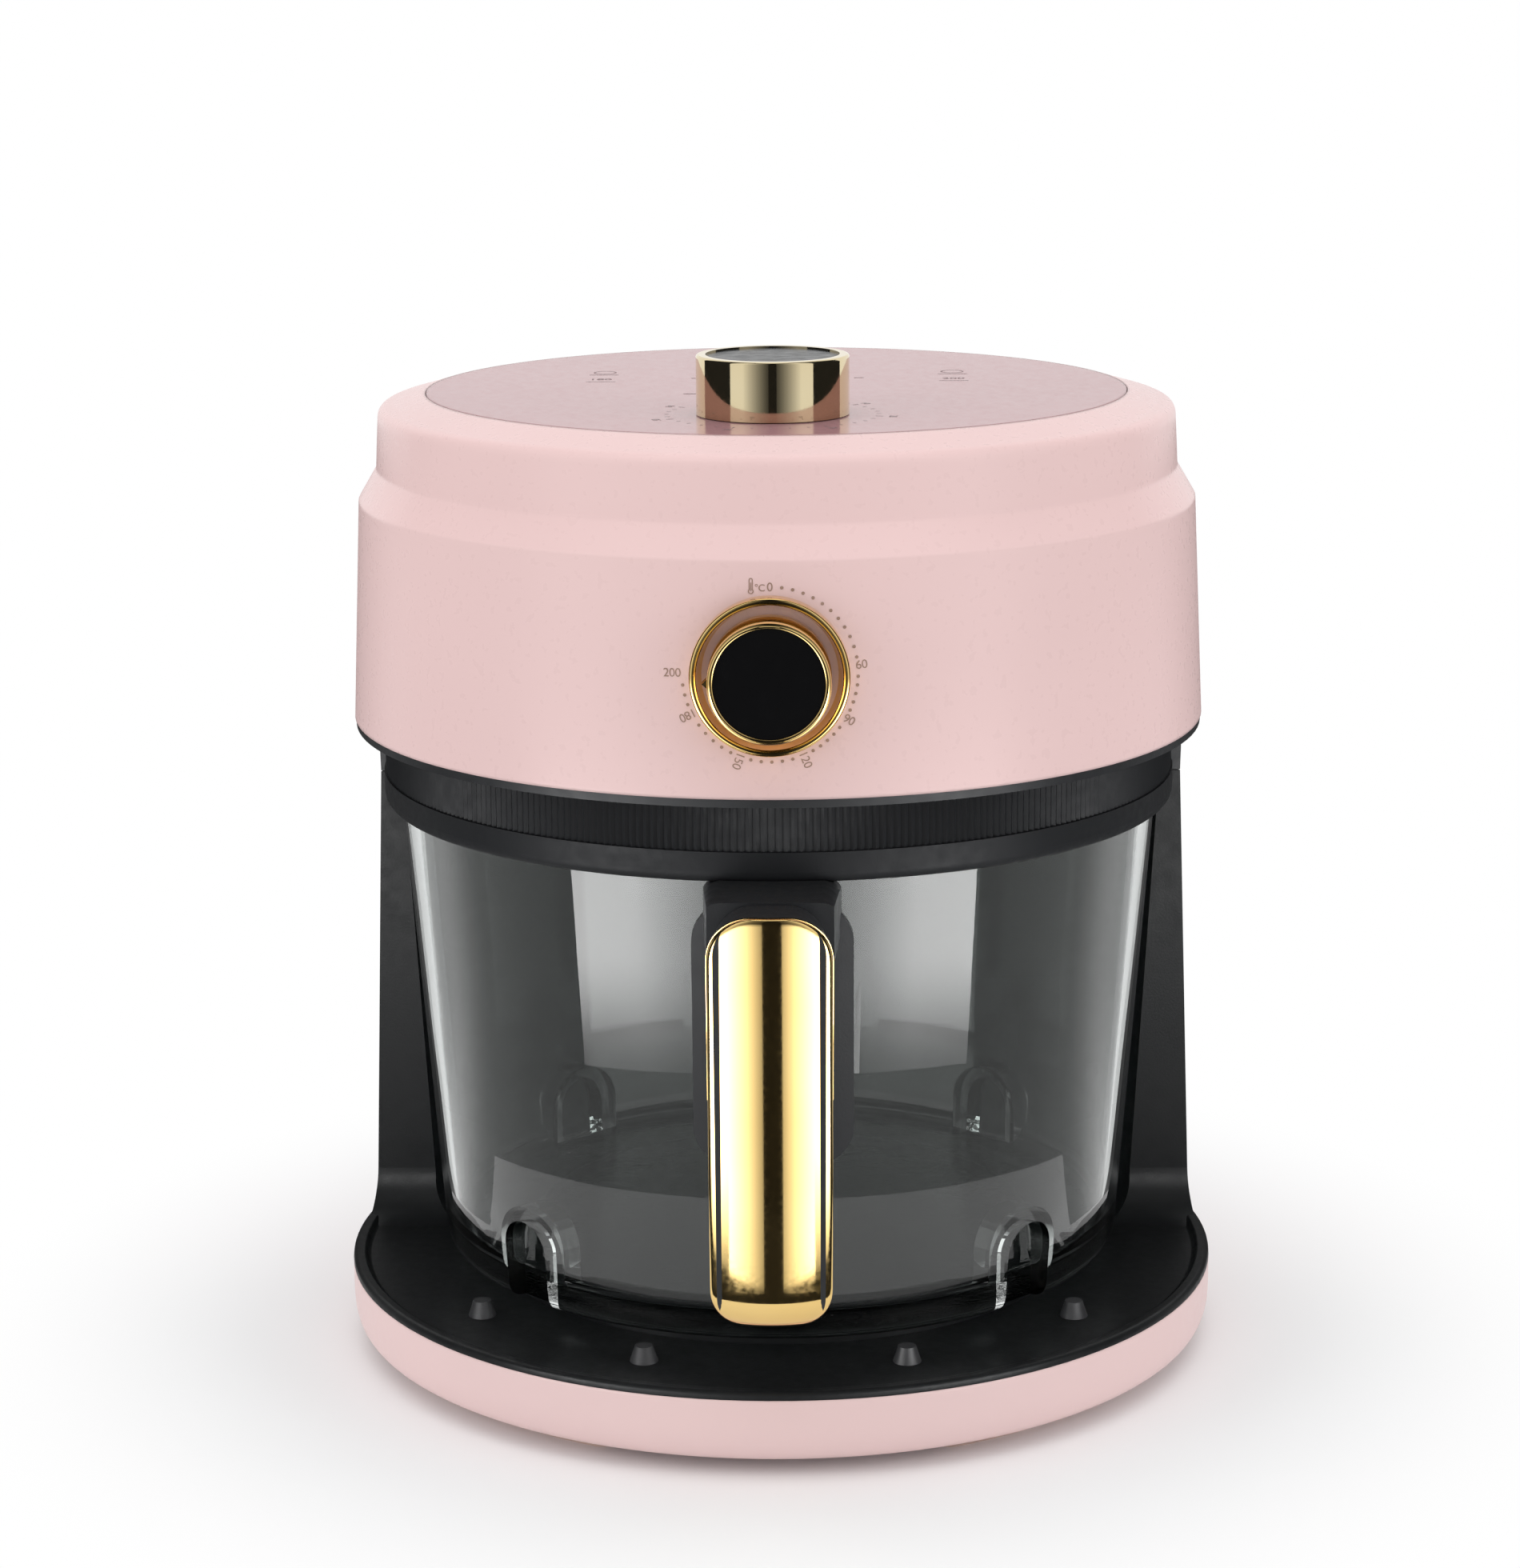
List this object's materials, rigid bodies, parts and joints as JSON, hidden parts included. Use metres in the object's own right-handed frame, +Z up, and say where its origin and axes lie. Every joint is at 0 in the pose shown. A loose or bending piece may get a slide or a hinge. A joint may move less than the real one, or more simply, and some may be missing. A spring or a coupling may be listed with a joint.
{
  "type": "glass air fryer",
  "caption": "Round countertop air fryer: a glass jar with a handle stands on a low base under a hinged heating lid with a timer knob and a temperature dial.",
  "frame": {"origin": "on the floor under the middle of the glass jar, on the jar's upright axis", "axes": "+Z up, -Y towards the front with the handle, +X to the right seen from the front"},
  "size_m": [0.27, 0.302, 0.3135],
  "materials": {
    "pink_plastic": "satin",
    "pink_panel": "satin",
    "dark_plastic": "satin",
    "dark_gloss": "gloss",
    "gold_trim": "polished",
    "clear_glass": "polished",
    "steel": "brushed",
    "light_metal": "satin",
    "dark_rubber": "matte",
    "seal_rubber": "matte",
    "foot_rubber": "matte"
  },
  "bodies": {
    "stand": {"base_shell": "pink_plastic", "base_screws": "steel", "foot_pads": "foot_rubber", "cord_gland": "dark_rubber", "deck_liner": "dark_plastic", "column_cover": "pink_plastic", "cover_screws": "steel", "jar_pegs": "dark_rubber", "hinge_pin": "steel"},
    "lid": {"lid_frame": "dark_plastic", "lid_screws": "steel", "lid_shell": "pink_plastic", "outlet_grille": "dark_plastic", "top_panel": "pink_panel", "dial_bezel": "gold_trim", "thermostat": "dark_plastic", "timer_body": "dark_plastic", "fan_guard": "steel", "reflector": "steel", "heater_coil": "steel", "heater_clips": "steel", "thermal_fuse": "steel", "motor_bracket": "steel", "motor": "steel"},
    "timer": {"timer_knob": "gold_trim", "timer_cap": "dark_gloss", "timer_shaft": "steel"},
    "dial": {"dial_knob": "gold_trim", "dial_cap": "dark_gloss", "dial_shaft": "steel"},
    "fan": {"hot_fan": "light_metal", "cooling_fan": "dark_plastic", "drive_shaft": "steel"},
    "jar": {"glass_jar": "clear_glass", "jar_seal": "seal_rubber", "jar_collar": "dark_plastic", "collar_band": "dark_plastic", "handle_bracket": "dark_plastic", "handle_grip": "dark_plastic", "handle_screws": "steel", "handle_cover": "gold_trim"}
  },
  "joints": [
    {"name": "lid_hinge", "type": "hinge", "parent": "stand", "child": "lid", "pos_m": [0, 0.134, 0.17195], "axis": [-1, 0, 0], "range_deg": [0, 70]},
    {"name": "timer_turn", "type": "hinge", "parent": "lid", "child": "timer", "pos_m": [0, -0.061, 0.3], "axis": [0, 0, -1], "range_deg": [0, 300]},
    {"name": "dial_turn", "type": "hinge", "parent": "lid", "child": "dial", "pos_m": [0, -0.135, 0.2334], "axis": [0, 1, 0], "range_deg": [-271.4, 0]},
    {"name": "fan_spin", "type": "hinge", "parent": "lid", "child": "fan", "pos_m": [0, 0, 0.25], "axis": [0, 0, 1], "continuous": true},
    {"name": "jar_slide", "type": "slide", "parent": "stand", "child": "jar", "axis": [0, -1, 0], "range_m": [0, 0.26]}
  ]
}
